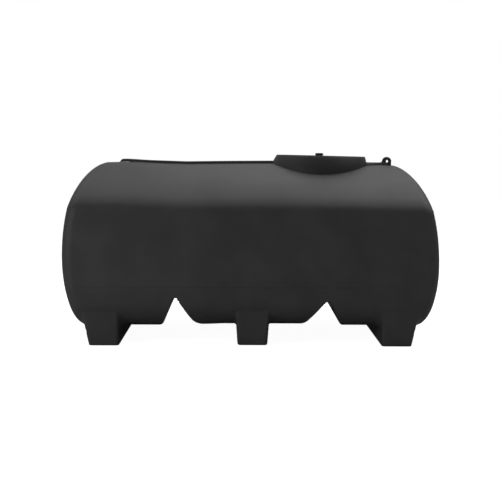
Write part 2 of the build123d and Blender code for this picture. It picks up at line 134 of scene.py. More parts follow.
def wall(points: Array, through: Pair, facing: Pair) -> Skin:
    """A flat wall seen from the side, in X and Z: distance is the offset from it along its facing.

    Args:
        points: N by 3 places.
        through: X and Z of a point on the wall.
        facing: X and Z of the outward direction, of any length.

    Returns:
        The skin of the wall.
    """
    size = math.hypot(*facing)
    nx, nz = facing[0] / size, facing[1] / size
    distance = (points[:, 0] - through[0]) * nx + (points[:, 2] - through[1]) * nz
    return Skin(distance, np.broadcast_to([nx, 0.0, nz], points.shape))


def flank(points: Array, half_width: float, lean: float, at_z: float) -> Skin:
    """The two long sides at once: distance is how far the size of Y lies past the half width.

    Args:
        points: N by 3 places.
        half_width: size of Y of the sides.
        lean: how much the half width grows for each metre of height.
        at_z: height at which it is as given.

    Returns:
        The skin of the sides.
    """
    size = math.hypot(1, lean)
    distance = (np.abs(points[:, 1]) - half_width - lean * (points[:, 2] - at_z)) / size
    side = np.where(points[:, 1] < 0, -1.0, 1.0)
    normal = np.stack([np.zeros_like(side), side / size, np.full_like(side, -lean / size)], axis=1)
    return Skin(distance, normal)


# --- meshes


def grid_faces(rows: int, columns: int, closed: bool) -> Array:
    """Corner numbers of the quads of a grid whose points are numbered row by row.

    Args:
        rows: points along the first parameter.
        columns: points along the second.
        closed: whether the last column joins the first.

    Returns:
        One row of four numbers for each quad.
    """
    across = columns if closed else columns - 1
    row, column = np.meshgrid(np.arange(rows - 1), np.arange(across), indexing="ij")
    after = (column + 1) % columns
    here, below = row * columns, (row + 1) * columns
    quads = [here + column, below + column, below + after, here + after]
    return np.stack(quads, axis=-1).reshape(-1, 4)


def ring_points(centre_x: Array | float, radius: Array, angle: Array, height: Array) -> Array:
    """Points round an upright axis: X is the axis plus radius times cosine, Y is radius times sine.

    Args:
        centre_x: X of the axis, one for all or one for each ring.
        radius: radii, ring by ring.
        angle: angles round the axis.
        height: heights, as many as radii.

    Returns:
        N by 3 places, ring by ring.
    """
    x = centre_x + radius * np.cos(angle)
    return np.stack([x, radius * np.sin(angle), height], axis=-1).reshape(-1, 3)


def closed_loop(rows: int, columns: int) -> Array:
    """Quads of a grid that is closed both ways: the last row joins the first."""
    return grid_faces(rows + 1, columns, True) % (rows * columns)


def make_piece(
    name: str, points: Array, faces: list[Array], normals: Array | None = None, flip: bool = False
) -> Piece:
    """Puts points and faces into a smooth mesh object at the origin.

    Args:
        name: name of the object.
        points: N by 3 places.
        faces: arrays of corner numbers, each with its own number of corners.
        normals: N by 3 outward directions, or None to take them from the faces.
        flip: whether the faces are turned over.

    Returns:
        The object, linked to the scene.
    """
    mesh = bpy.data.meshes.new(name)
    turned = [array[:, ::-1] if flip else array for array in faces]
    corners = np.concatenate([array.ravel() for array in turned]).astype(np.int32)
    sizes = np.concatenate([np.full(len(array), array.shape[1]) for array in turned]).astype(np.int32)
    mesh.vertices.add(len(points))
    mesh.vertices.foreach_set("co", points.astype(np.float32).ravel())
    mesh.loops.add(corners.size)
    mesh.loops.foreach_set("vertex_index", corners)
    mesh.polygons.add(sizes.size)
    mesh.polygons.foreach_set("loop_start", np.concatenate([[0], np.cumsum(sizes)[:-1]]).astype(np.int32))
    mesh.polygons.foreach_set("use_smooth", np.ones(sizes.size, dtype=bool))
    mesh.update(calc_edges=True)
    if normals is not None:
        mesh.normals_split_custom_set_from_vertices(normals)
    piece = bpy.data.objects.new(name, mesh)
    bpy.context.scene.collection.objects.link(piece)
    return piece


def graded(borders: Row, steps: Row) -> Array:
    """Even steps over spans laid end to end.

    Args:
        borders: where the spans start and end.
        steps: longest step of each span.

    Returns:
        The places, without repeats.
    """
    spans = zip(borders, borders[1:], steps)
    runs = [np.linspace(low, high, max(2, math.ceil((high - low) / step) + 1)) for low, high, step in spans]
    return np.unique(np.round(np.concatenate(runs), 6))


# --- moulded body


@dataclass
class Groove:
    """One groove across the belly: apex, reach of its walls at the belly, and its roundings."""

    apex_x: float
    rise: float
    left_reach: float
    left_round: float
    right_reach: float
    right_round: float
    apex_round: float

    def skin(self, points: Array, belly: Skin, belly_z: float) -> Skin:
        """Belly with the groove in it: two blocks with rolled feet, left and right of the apex, joined.

        Args:
            points: N by 3 places.
            belly: skin of the flat belly.
            belly_z: its height.

        Returns:
            The skin of what the groove leaves.
        """
        apex = (self.apex_x, belly_z + self.rise)
        left = wall(points, apex, (self.rise, -self.left_reach))
        right = wall(points, apex, (-self.rise, -self.right_reach))
        left_block = meet(belly, left, self.left_round)
        right_block = meet(belly, right, self.right_round)
        return join(left_block, right_block, self.apex_round)


@dataclass
class Foot:
    """One saddle foot: its sole from low to high X, and how far its walls flare over the loft height.

    The flares are those of the walls that face low X, high X and the two long sides. The fillet is the
    hollow rounding between the foot and the body.
    """

    low_x: float
    high_x: float
    low_flare: float
    high_flare: float
    half_span: float = 0.608
    span_flare: float = 0.006
    loft: float = 0.256
    corner_round: float = 0.024
    sole_round: float = 0.007
    sole_z: float = 0.0
    fillet: float = 0.046
    top: float = 0.35

    def skin(self, points: Array) -> Skin:
        """A block with leaning walls, rolled corners and a rolled sole.

        Args:
            points: N by 3 places.

        Returns:
            The skin of the foot.
        """
        low = wall(points, (self.low_x, 0.0), (-self.loft, -self.low_flare))
        high = wall(points, (self.high_x, 0.0), (self.loft, -self.high_flare))
        ends = flank(points, self.half_span, self.span_flare / self.loft, 0.0)
        block = meet(meet(low, high, 0.0), ends, self.corner_round)
        block = meet(block, wall(points, (0.0, self.sole_z), (0.0, -1.0)), self.sole_round)
        return meet(block, wall(points, (0.0, self.top), (0.0, 1.0)), 0.0)


@dataclass
class MouldedBody:
    """The hollow body as one skin: barrel roof, flanks, bulged ends, grooved belly and saddle feet.

    Pairs of end sizes are left and right. The waves give places along X and what they add to a height.
    Borders and steps grade the grid: along X, in the fans at the ends, and round the lower half.
    """

    half_length: float = 1.234
    half_width: float = 0.640
    crown_z: float = 1.184
    belly_z: float = 0.119
    parting_z: float = 0.390
    roof_radius: float = 0.888
    shoulder_round: float = 0.095
    haunch_inset: float = 0.028
    haunch_round: float = 0.190
    parting_round: float = 0.300
    end_depth: Pair = (0.256, 0.280)
    end_bottom_z: Pair = (0.022, -0.010)
    end_middle_z: Pair = (0.575, 0.520)
    end_top_z: Pair = (1.191, 1.190)
    end_round: float = 0.078
    groove_edge_round: float = 0.012
    fan_x: float = 1.000
    fan_borders: Row = (0.002, 0.070)
    fan_steps: Row = (0.003, 0.012)
    fan_corner_steps: int = 12
    fan_end_steps: int = 40
    fan_end_y: float = 0.008
    station_borders: Row = (
        *(-1.0, -0.9, -0.866, -0.85, -0.62, -0.4, -0.26, -0.14, -0.06),
        *(0.08, 0.16, 0.3, 0.4, 0.62, 0.85, 0.866, 0.9, 1.0),
    )
    station_steps: Row = (
        *(0.01, 0.0025, 0.0008, 0.02, 0.0035, 0.006, 0.02, 0.002, 0.015),
        *(0.002, 0.02, 0.006, 0.0035, 0.02, 0.0008, 0.0025, 0.01),
    )
    upper_stations: int = 24
    upper_angles: int = 221
    lower_borders: Row = (0.0, 0.17, 0.50, 0.62, QUARTER)
    lower_steps: Row = (0.030, 0.014, 0.006, 0.034)
    far: float = 2.0
    halvings: int = 24
    belly_wave: tuple[Row, Row] = (
        (-0.58, -0.36, -0.27, -0.19, 0.40, 0.58),
        (-0.005, 0.0005, 0.0025, 0.006, 0.007, -0.001),
    )
    crown_wave: tuple[Row, Row] = (
        (-0.98, -0.86, -0.70, -0.45, -0.15, 0.15, 0.60, 0.95),
        (0.006, 0.010, 0.001, -0.006, -0.001, 0.002, -0.002, -0.007),
    )
    grooves: tuple[Groove, ...] = (
        Groove(-0.4980, 0.2111, 0.0844, 0.055, 0.1426, 0.125, 0.0145),
        Groove(0.5114, 0.1982, 0.1675, 0.070, 0.0868, 0.050, 0.032),
    )
    feet: tuple[Foot, ...] = (
        Foot(-1.059, -0.861, 0.055, 0.004),
        Foot(-0.0855, 0.1105, 0.018, 0.018, sole_z=0.005, sole_round=0.012, fillet=0.018),
        Foot(0.861, 1.059, 0.004, 0.055),
    )

    def crown(self, x: Array) -> Array:
        """Height of the crown along the tank: the nominal height plus a slow wave from the mould."""
        return self.crown_z + np.interp(x, *self.crown_wave)

    def roof(self, points: Array) -> Skin:
        """A lying cylinder: distance from its axis in Y and Z, less its radius.

        Args:
            points: N by 3 places.

        Returns:
            The skin of the roof.
        """
        up = points[:, 2] - (self.crown(points[:, 0]) - self.roof_radius)
        reach = np.hypot(points[:, 1], up)
        safe = np.maximum(reach, TINY)
        normal = np.stack([np.zeros_like(up), points[:, 1] / safe, up / safe], axis=1)
        return Skin(reach - self.roof_radius, normal)

    def ends(self, points: Array) -> Skin:
        """Both bulged ends: beyond the end line, the halves of two ellipses in X and Z.

        One ellipse lies above the widest height and one below. The distance is k (k - 1) / g, where k is
        the length of the point scaled to the unit circle and g that of the point scaled twice.

        Args:
            points: N by 3 places.

        Returns:
            The skin of the ends.
        """
        left = points[:, 0] < 0
        pairs = (self.end_bottom_z, self.end_middle_z, self.end_top_z, self.end_depth)
        bottom, middle, top, depth = (np.where(left, *pair) for pair in pairs)
        out = np.maximum(np.abs(points[:, 0]) - (self.half_length - depth), 0.0)
        up = points[:, 2] - middle
        rise = np.where(up > 0, top - middle, middle - bottom)
        scale = np.maximum(np.hypot(out / depth, up / rise), SMALL)
        steep_x = out / depth**2
        steep_z = up / rise**2
        steep = np.maximum(np.hypot(steep_x, steep_z), SMALL)
        side = np.where(left, -1.0, 1.0)
        normal = np.stack([side * steep_x / steep, np.zeros_like(up), steep_z / steep], axis=1)
        return Skin(scale * (scale - 1) / steep, normal)

    def skin(self, points: Array) -> Skin:
        """The whole body: section met with the ends, then the grooves, then the feet joined on.

        Args:
            points: N by 3 places.

        Returns:
            The skin of the body.
        """
        low = self.belly_z + np.interp(points[:, 0], *self.belly_wave) - points[:, 2]
        belly = Skin(low, np.broadcast_to([0.0, 0.0, -1.0], points.shape))
        lean = self.haunch_inset / (self.parting_z - self.belly_z)
        upper = meet(self.roof(points), flank(points, self.half_width, 0.0, 0.0), self.shoulder_round)
        sides = meet(upper, flank(points, self.half_width, lean, self.parting_z), self.parting_round)
        body = meet(meet(sides, belly, self.haunch_round), self.ends(points), self.end_round)
        for groove in self.grooves:
            body = meet(body, groove.skin(points, belly, self.belly_z), self.groove_edge_round)
        for foot in self.feet:
            body = join(body, foot.skin(points), foot.fillet)
        return body

    def stations(self) -> tuple[Array, Array, Array]:
        """Where rays start along the tank, and how they fan out at its ends.

        Between the fan centres a ray starts on the axis and leaves square to it. Beyond them it starts at
        the fan centre and tilts outwards. The tilts follow even steps along a guide: the flank, its
        rounding and the flat of the end, all seen from above.

        Returns:
            Start X and tilt in radians of every station, from left to right, and the untilted starts.
        """
        straight = graded(self.station_borders, self.station_steps)
        tilts = self.fan_tilts()
        fan = np.full(tilts.size, self.fan_x)
        start = np.concatenate([-fan, straight, fan])
        tilt = np.concatenate([-tilts[::-1], np.zeros(straight.size), tilts])
        return start, tilt, straight

    def fan_tilts(self) -> Array:
        """Tilts of one fan, from just past square to nearly along the tank.

        Returns:
            The angles whose tangent is the guide's way along X over its way across.
        """
        reach = self.half_length - self.fan_x
        corner_x, corner_y = reach - self.end_round, self.half_width - self.end_round
        turn = np.linspace(0, QUARTER, self.fan_corner_steps)[1:-1]
        side_x = graded((*self.fan_borders, corner_x), self.fan_steps)
        side_y = np.full(side_x.size, self.half_width)
        end_x = np.full(self.fan_end_steps, reach)
        end_y = np.linspace(corner_y, self.fan_end_y, self.fan_end_steps)
        along = np.concatenate([side_x, corner_x + self.end_round * np.sin(turn), end_x])
        across = np.concatenate([side_y, corner_y + self.end_round * np.cos(turn), end_y])
        return np.arctan2(along, across)

    def shoot(self, start: Array, tilt: Array, around: Array) -> tuple[Array, Array]:
        """Points of the skin on rays from the axis at parting height, found by halving the interval.

        Args:
            start: start X of each station.
            tilt: tilt of each station towards plus X.
            around: angles about the axis, zero towards the rear and a quarter turn upwards.

        Returns:
            The points and their outward directions, each N by 3, station by station.
        """
        sx, angle = np.meshgrid(start, around, indexing="ij")
        tx, _ = np.meshgrid(tilt, around, indexing="ij")
        origin = np.stack([sx.ravel(), np.zeros(sx.size), np.full(sx.size, self.parting_z)], axis=1)
        square = np.cos(tx)
        direction = np.stack([np.sin(tx), square * np.cos(angle), square * np.sin(angle)], axis=-1).reshape(-1, 3)
        low = np.zeros(sx.size)
        high = np.full(sx.size, self.far)
        for _ in range(self.halvings):
            middle = (low + high) / 2
            outside = self.skin(origin + direction * middle[:, None]).distance > 0
            high = np.where(outside, middle, high)
            low = np.where(outside, low, middle)
        points = origin + direction * ((low + high) / 2)[:, None]
        normals = self.skin(points).normal
        points[:, 1] = np.clip(points[:, 1], -self.half_width, self.half_width)
        return points, normals

    def half(self, name: str, start: Array, tilt: Array, around: Array) -> Piece:
        """One half of the skin, above or below the parting line, with a pole in the middle of each end.

        Args:
            name: name of the piece.
            start: start X of each station.
            tilt: tilt of each station.
            around: angles about the axis.

        Returns:
            The piece.
        """
        points, normals = self.shoot(start, tilt, around)
        way = np.array([-1.0, 1.0])
        poles, pole_normals = self.shoot(way * self.fan_x, way * QUARTER, np.array([0.0]))
        columns = around.size
        count = len(points)
        quads = grid_faces(start.size, columns, False)
        step = np.arange(columns - 1)
        last = count - columns
        left_cap = np.stack([np.full(columns - 1, count), step, step + 1], axis=1)
        right_cap = np.stack([np.full(columns - 1, count + 1), last + step + 1, last + step], axis=1)
        points, normals = np.concatenate([points, poles]), np.concatenate([normals, pole_normals])
        return make_piece(name, points, [quads, left_cap, right_cap], normals, flip=True)

    def build(self) -> list[Piece]:
        """The two halves of the moulding, the upper one with fewer stations, as its flanks are plain.

        Returns:
            The upper and the lower piece.
        """
        start, tilt, straight = self.stations()
        square = tilt == 0
        kept = straight[:: max(1, straight.size // self.upper_stations)]
        spare = square & ~np.isin(start, kept)
        spare[np.flatnonzero(square)[[0, -1]]] = False
        upper_angles = np.linspace(0, math.pi, self.upper_angles)
        half_turn = graded(self.lower_borders, self.lower_steps)
        lower_angles = -np.concatenate([half_turn, math.pi - half_turn[-2::-1]])
        upper = self.half("upper_moulding", start[~spare], tilt[~spare], upper_angles)
        lower = self.half("lower_moulding", start, tilt, lower_angles[::-1])
        return [upper, lower]


# --- top fittings


@dataclass
class Revolved:
    """A piece turned about an upright axis in the XZ plane of the tank."""

    centre_x: float
    turns: int
    ribs: int = 0
    rib_depth: float = 0.0
    rib_reach: float = 1.0
    rib_steepness: float = 2.2

    def build(self, name: str, radius: Array, height: Array) -> Piece:
        """Carries a profile, both ends of which lie on the axis, once round it.

        With ribs, radii beyond the rib reach are drawn in by up to the rib depth, as a wave round the axis
        with flat tops.

        Args:
            name: name of the piece.
            radius: radii of the profile, from the top down.
            height: heights of the profile.

        Returns:
            The piece.
        """
        angle = np.linspace(0, TURN, self.turns, endpoint=False)
        ring, turn = np.meshgrid(radius, angle, indexing="ij")
        wave = np.clip(0.5 - self.rib_steepness * np.cos(self.ribs * turn), 0, 1)
        ring = np.where(ring > self.rib_reach, ring - self.rib_depth * wave, ring)
        points = ring_points(self.centre_x, ring, angle, np.broadcast_to(height[:, None], ring.shape))
        inner = points[self.turns : -self.turns]
        poles = np.array([[self.centre_x, 0.0, height[0]], [self.centre_x, 0.0, height[-1]]])
        rings = radius.size - 2
        faces = grid_faces(rings, self.turns, True)
        step = np.arange(self.turns)
        after = (step + 1) % self.turns
        last = (rings - 1) * self.turns
        count = len(inner)
        first_cap = np.stack([np.full(self.turns, count), step, after], axis=1)
        last_cap = np.stack([np.full(self.turns, count + 1), last + after, last + step], axis=1)
        return make_piece(name, np.concatenate([inner, poles]), [faces, first_cap, last_cap])


def rounded_profile(corners: list[Triple], steps: int = 7) -> tuple[Array, Array]:
    """An open profile through corners, each but the ends rolled round: an arc tangent to both its legs.

    Args:
        corners: radius, height and rounding of each corner.
        steps: points on each arc.

    Returns:
        Radii and heights.
    """
    places = np.array([corner[:2] for corner in corners])
    out: list[Array] = []
    for index, (_, _, radius) in enumerate(corners):
        here = places[index]
        if radius <= 0 or index in (0, len(corners) - 1):
            out.append(here[None, :])
            continue
        back = places[index - 1] - here
        ahead = places[index + 1] - here
        back = back / np.linalg.norm(back)
        ahead = ahead / np.linalg.norm(ahead)
        half = math.acos(float(np.clip(back @ ahead, -1, 1))) / 2
        middle = back + ahead
        centre = here + middle / np.linalg.norm(middle) * radius / math.sin(half)
        start = here + back * radius / math.tan(half) - centre
        end = here + ahead * radius / math.tan(half) - centre
        share = np.linspace(0, 1, steps)[:, None]
        sweep = math.pi - 2 * half
        arc = (np.sin((1 - share) * sweep) * start + np.sin(share * sweep) * end) / math.sin(sweep)
        out.append(centre + arc)
    line = np.concatenate(out)
    return line[:, 0], line[:, 1]


@dataclass
class Collar:
    """The moulded neck of the manhole, its foot running out into the barrel roof."""

    centre_x: float = 0.4928
    foot_z: float = 1.090
    rim_z: float = 1.237
    rim_radius: float = 0.309
    shoulder_radius: float = 0.331
    shoulder_z: float = 1.184
    base_radius: float = 0.335
    seat_radius: float = 0.297
    seat_z: float = 1.216
    bore_radius: float = 0.275
    rim_round: float = 0.004
    foot_flare: float = 0.004
    sink: float = 0.020
    tilt: float = 0.018
    foot_shift: float = -0.011
    wall_lean: float = 0.002
    rim_drop: float = 0.0048
    rim_lean: float = 0.0008
    seat_round: float = 0.001
    bore_round: float = 0.002
    skirt_inset: float = 0.030
    turns: int = 288
    flare_steps: int = 9
    wall_steps: int = 16

    def wall_radius(self, height: Array) -> Array:
        """Radius of the outer wall: a parabola through its foot, shoulder and rim.

        Args:
            height: heights on the wall.

        Returns:
            The radii there.
        """
        heights = np.array([self.foot_z, self.shoulder_z, self.rim_z])
        radii = np.array([self.base_radius, self.shoulder_radius, self.rim_radius])
        bend = np.polyfit(heights, radii, 2)
        return np.polyval(bend, height)

    def build(self, body: MouldedBody) -> Piece:
        """The neck as rings from the roof upwards, over the rim and down to the seat and the bore.

        The outer wall starts at roof height for its own angle. Close to the roof its radius grows by the
        flare times a quarter circle, so it leaves the roof smoothly. The neck stands a little askew, as in
        the mould: its rim rises towards the left by the tilt, and its foot lies off the axis by the shift,
        both in proportion to the height on the wall.

        Args:
            body: the body it stands on.

        Returns:
            The piece.
        """
        angle = np.linspace(0, TURN, self.turns, endpoint=False)
        axis_z = body.crown(self.centre_x + self.base_radius * np.cos(angle)) - body.roof_radius
        ground = axis_z + np.sqrt(body.roof_radius**2 - (self.base_radius * np.sin(angle)) ** 2)
        quarter = np.linspace(0, QUARTER, self.flare_steps)[:, None]
        share = np.linspace(0, 1, self.wall_steps)[1:, None]
        top = self.rim_z - self.rim_drop
        low = ground + self.foot_flare * (1 - np.cos(quarter))
        high = ground + self.foot_flare + (top - ground - self.foot_flare) * share
        height = np.concatenate([low, high])
        spread = np.concatenate([1 - np.sin(quarter), np.zeros_like(share)]) * self.foot_flare
        radius = self.wall_radius(height) + spread
        foot_y = radius[: self.flare_steps] * np.sin(angle)
        height[: self.flare_steps] += axis_z + np.sqrt(body.roof_radius**2 - foot_y**2) - ground
        climb = np.concatenate([np.zeros_like(quarter), share])
        lift = self.tilt * self.rim_radius * (1 - np.cos(angle))
        height += climb * lift
        inner_corners = [
            (self.rim_radius + self.wall_lean, top, 0.0),
            (self.rim_radius - self.rim_lean, self.rim_z, self.rim_round),
            (self.seat_radius, self.rim_z, self.rim_round),
            (self.seat_radius, self.seat_z, self.seat_round),
            (self.bore_radius, self.seat_z, self.bore_round),
            (self.bore_radius, self.foot_z, 0.0),
            (self.base_radius - self.skirt_inset, self.foot_z - self.sink, 0.0),
        ]
        inner_radius, inner_height = (line[1:, None] for line in rounded_profile(inner_corners))
        raised = np.clip((inner_height - self.seat_z) / (self.rim_z - self.seat_z), 0, 1)
        shift = np.concatenate([(1 - climb) * self.foot_shift, np.zeros_like(inner_radius)])
        radius = np.concatenate([radius, np.broadcast_to(inner_radius, (inner_radius.size, self.turns))])
        height = np.concatenate([height, inner_height + raised * lift])
        points = ring_points(self.centre_x + shift, radius, angle, height)
        return make_piece("manhole_collar_skin", points, [closed_loop(radius.shape[0], self.turns)], flip=True)


@dataclass
class Lid:
    """The lift-off manhole lid with its raised vent."""

    centre_x: float = 0.4928
    low_z: float = 1.221
    edge_z: float = 1.236
    radius: float = 0.2955
    dome: float = 0.005
    plug_radius: float = 0.269
    plug_depth: float = 0.026
    vent_offset: float = -0.010
    stem_radius: float = 0.022
    cap_radius: float = 0.0285
    cap_low: float = 1.2445
    cap_high: float = 1.261
    cap_round: float = 0.0015
    cap_ribs: int = 12
    cap_rib_depth: float = 0.004
    cap_step: Pair = (0.0050, 0.0035)
    cap_hollow: float = 0.003
    fine_round: float = 0.001
    under_round: float = 0.002
    plug_round: float = 0.004
    upper_round: float = 0.003
    stem_bite: float = 0.004
    cap_lean: float = 0.0005
    rib_share: float = 0.9
    plate_turns: int = 288
    stem_turns: int = 64
    cap_turns: int = 240
    dome_steps: int = 24
    dome_share: float = 0.985

    def plate_piece(self) -> Piece:
        """The lid: a shallow dome, a rolled edge, a flat rim below and a plug that reaches into the neck.

        The dome's height falls off as the square of the share of the radius.

        Returns:
            The piece.
        """
        share = np.linspace(0, self.dome_share, self.dome_steps)
        top = self.edge_z + self.dome * (1 - share**2)
        plug_z = self.low_z - self.plug_depth
        corners = [
            (self.radius * share[-1], float(top[-1]), 0.0),
            (self.radius, self.edge_z, self.upper_round),
            (self.radius, self.low_z, self.under_round),
            (self.plug_radius, self.low_z, self.under_round),
            (self.plug_radius, plug_z, self.plug_round),
            (0.0, plug_z, 0.0),
        ]
        radius, height = rounded_profile(corners)
        radius = np.concatenate([self.radius * share[:-1], radius])
        height = np.concatenate([top[:-1], height])
        return Revolved(self.centre_x, self.plate_turns).build("manhole_lid_skin", radius, height)

    def vent_pieces(self) -> list[Piece]:
        """The stem and its ribbed mushroom cap.

        Returns:
            The two pieces.
        """
        at = self.centre_x + self.vent_offset
        stem_top = self.cap_low + self.stem_bite
        stem = [
            (0.0, stem_top, 0.0),
            (self.stem_radius, stem_top, 0.0),
            (self.stem_radius, self.edge_z + self.dome, 0.0),
            (self.stem_radius, self.edge_z, 0.0),
            (0.0, self.edge_z, 0.0),
        ]
        step_in, step_down = self.cap_step
        under = self.cap_low + self.cap_hollow
        cap = [
            (0.0, self.cap_high, 0.0),
            (self.cap_radius - step_in - self.cap_lean, self.cap_high, self.fine_round),
            (self.cap_radius - step_in, self.cap_high - step_down, self.fine_round),
            (self.cap_radius, self.cap_high - step_down, self.cap_round),
            (self.cap_radius, self.cap_low, self.fine_round),
            (self.stem_radius + self.fine_round, self.cap_low, self.fine_round),
            (self.stem_radius - self.cap_hollow, under, 0.0),
            (0.0, under, 0.0),
        ]
        rib_reach = self.cap_radius * self.rib_share
        ribbed = Revolved(at, self.cap_turns, self.cap_ribs, self.cap_rib_depth, rib_reach)
        return [
            Revolved(at, self.stem_turns).build("vent_stem_skin", *rounded_profile(stem)),
            ribbed.build("vent_cap_skin", *rounded_profile(cap)),
        ]


@dataclass
class Ridge:
    """A raised strip along the crown, flaring into the roof."""

    width: float = 0.062
    height: float = 0.020
    edge_round: float = 0.008
    foot_flare: float = 0.008
    ramp: float = 0.024
    apron: float = 0.0
    apron_reach: float = 0.110
    neck_radius: float = 0.331
    ramp_power: float = 1.2
    borders: Pair = (0.04, 0.12)
    steps: Row = (0.002, 0.008, 0.03)
    round_steps: int = 8
    flat_steps: int = 5

    def build(self, name: str, start: float, end: float, ramped: bool, body: MouldedBody) -> Piece:
        """Carries the strip's section along X; at a ramp its height grows from nothing.

        The section is given by its height above the roof over Y. It is a flare, a wall and a rolled edge on
        each side, and flat between. With an apron the strip is wider where it leaves the neck of the
        manhole: the extra half width falls off as the square of the distance left to the reach, and there
        the sections bend round the neck's circle.

        Args:
            name: name of the piece.
            start: X of its left end.
            end: X of its right end.
            ramped: whether the left end ramps up from the roof.
            body: the body it stands on.

        Returns:
            The piece.
        """
        turn = np.linspace(0, QUARTER, self.round_steps)
        half = self.width / 2
        flare_y = half + self.foot_flare * (1 - np.sin(turn))
        flare_z = self.foot_flare * (1 - np.cos(turn))
        edge_y = half - self.edge_round * (1 - np.cos(turn))
        edge_z = self.height - self.edge_round * (1 - np.sin(turn))
        flat = np.linspace(half - self.edge_round, 0, self.flat_steps)[1:]
        across = np.concatenate([flare_y, edge_y, flat])
        level = np.concatenate([flare_z, edge_z, np.full(flat.size, self.height)])
        across = np.concatenate([-across, across[-2::-1]])
        level = np.concatenate([level, level[-2::-1]])
        near, middle = self.borders
        along = graded((start, start + near, start + middle, end), self.steps)
        share = np.clip((along - start) / self.ramp, 0, 1) if ramped else np.ones_like(along)
        grow = np.sin(share * QUARTER) ** self.ramp_power
        x, y = np.meshgrid(along, across, indexing="ij")
        left = np.clip(1 - (x - start) / self.apron_reach, 0, 1) ** 2
        y = y * (1 + left * self.apron / half)
        x = x - left * (self.neck_radius - np.sqrt(self.neck_radius**2 - y**2)) * (self.apron > 0)
        lift = grow[:, None] * level[None, :]
        z = body.crown(x) - body.roof_radius + np.sqrt(body.roof_radius**2 - y**2) + lift
        points = np.stack([x, y, z], axis=-1).reshape(-1, 3)
        return make_piece(name, points, [grid_faces(along.size, across.size, False)])


@dataclass
class LiftingEye:
    """The moulded lug at the right end of the crown, with its drilled hole."""

    hole_x: float = 0.961
    hole_z: float = 1.206
    hole_radius: float = 0.010
    ring_radius: float = 0.0305
    shift_x: float = -0.003
    post_share: float = 0.985
    low_z: float = 1.155
    ledge_z: float = 1.197
    ledge_reach: float = 0.060
    ledge_round: float = 0.014
    thickness: float = 0.040
    root_round: float = 0.008
    foot_round: float = 0.004
    edge_round: float = 0.004
    bore_round: float = 0.002
    turns: int = 240
    round_steps: int = 6
    far: float = 0.2
    halvings: int = 30

    def outline(self, angle: Array, inset: float) -> tuple[Array, Array]:
        """Where rays from the hole's centre leave the lug, drawn in by the inset.

        The lug is a disc joined to a post below it and, by a hollow fillet, to a ledge along the ridge on
        its left. The distance along a ray is found by halving.

        Args:
            angle: angles of the rays.
            inset: how far the outline is drawn in.

        Returns:
            X and Z of the points.
        """
        low, high = np.zeros_like(angle), np.full_like(angle, self.far)
        flat = np.zeros_like(angle)
        right = np.stack([flat + 1, flat, flat], axis=1)
        up = np.stack([flat, flat, flat + 1], axis=1)
        for _ in range(self.halvings):
            middle = (low + high) / 2
            dx = middle * np.cos(angle) - self.shift_x
            dz = middle * np.sin(angle)
            reach = np.maximum(np.hypot(dx, dz), TINY)
            disc = Skin(reach - self.ring_radius, np.stack([dx / reach, flat, dz / reach], axis=1))
            side = np.where(dx < 0, -1.0, 1.0)[:, None]
            floor = Skin(self.low_z - self.hole_z - dz, -up)
            post = meet(Skin(np.abs(dx) - self.ring_radius * self.post_share, side * right), Skin(dz, up), 0.0)
            post = meet(post, floor, self.foot_round)
            ledge = meet(Skin(dz + self.hole_z - self.ledge_z, up), Skin(dx, right), 0.0)
            ledge = meet(ledge, Skin(-self.ledge_reach - dx, -right), 0.0)
            ledge = meet(ledge, floor, 0.0)
            lug = join(join(disc, post, self.root_round), ledge, self.ledge_round)
            outside = lug.distance + inset > 0
            high = np.where(outside, middle, high)
            low = np.where(outside, low, middle)
        return self.hole_x + low * np.cos(angle), self.hole_z + low * np.sin(angle)

    def build(self) -> Piece:
        """A ring of sections round the hole: bore, rolled rim, face, rolled edge and side, front and back.

        At a share of a quarter turn the rolled rim widens the bore by its rounding less the cosine's part
        and lies off the face by its rounding less the sine's part; the rolled edge has them the other way.

        Returns:
            The piece.
        """
        angle = np.linspace(0, TURN, self.turns, endpoint=False)
        turn = np.linspace(0, QUARTER, self.round_steps)
        half = self.thickness / 2
        bore = [
            (self.hole_x + radius * np.cos(angle), self.hole_z + radius * np.sin(angle))
            for radius in self.hole_radius + self.bore_round * (1 - np.cos(turn))
        ]
        edge = [self.outline(angle, inset) for inset in self.edge_round * (1 - np.sin(turn))]
        bore_y = half - self.bore_round * (1 - np.sin(turn))
        edge_y = half - self.edge_round * (1 - np.cos(turn))
        front = bore + edge
        front_y = np.concatenate([bore_y, edge_y])
        rings = np.array(front + front[::-1])
        depth = np.concatenate([-front_y, front_y[::-1]])[:, None]
        y = np.broadcast_to(depth, rings[:, 0].shape)
        points = np.stack([rings[:, 0], y, rings[:, 1]], axis=-1).reshape(-1, 3)
        return make_piece("lifting_eye_skin", points, [closed_loop(len(rings), self.turns)])


# --- finishes


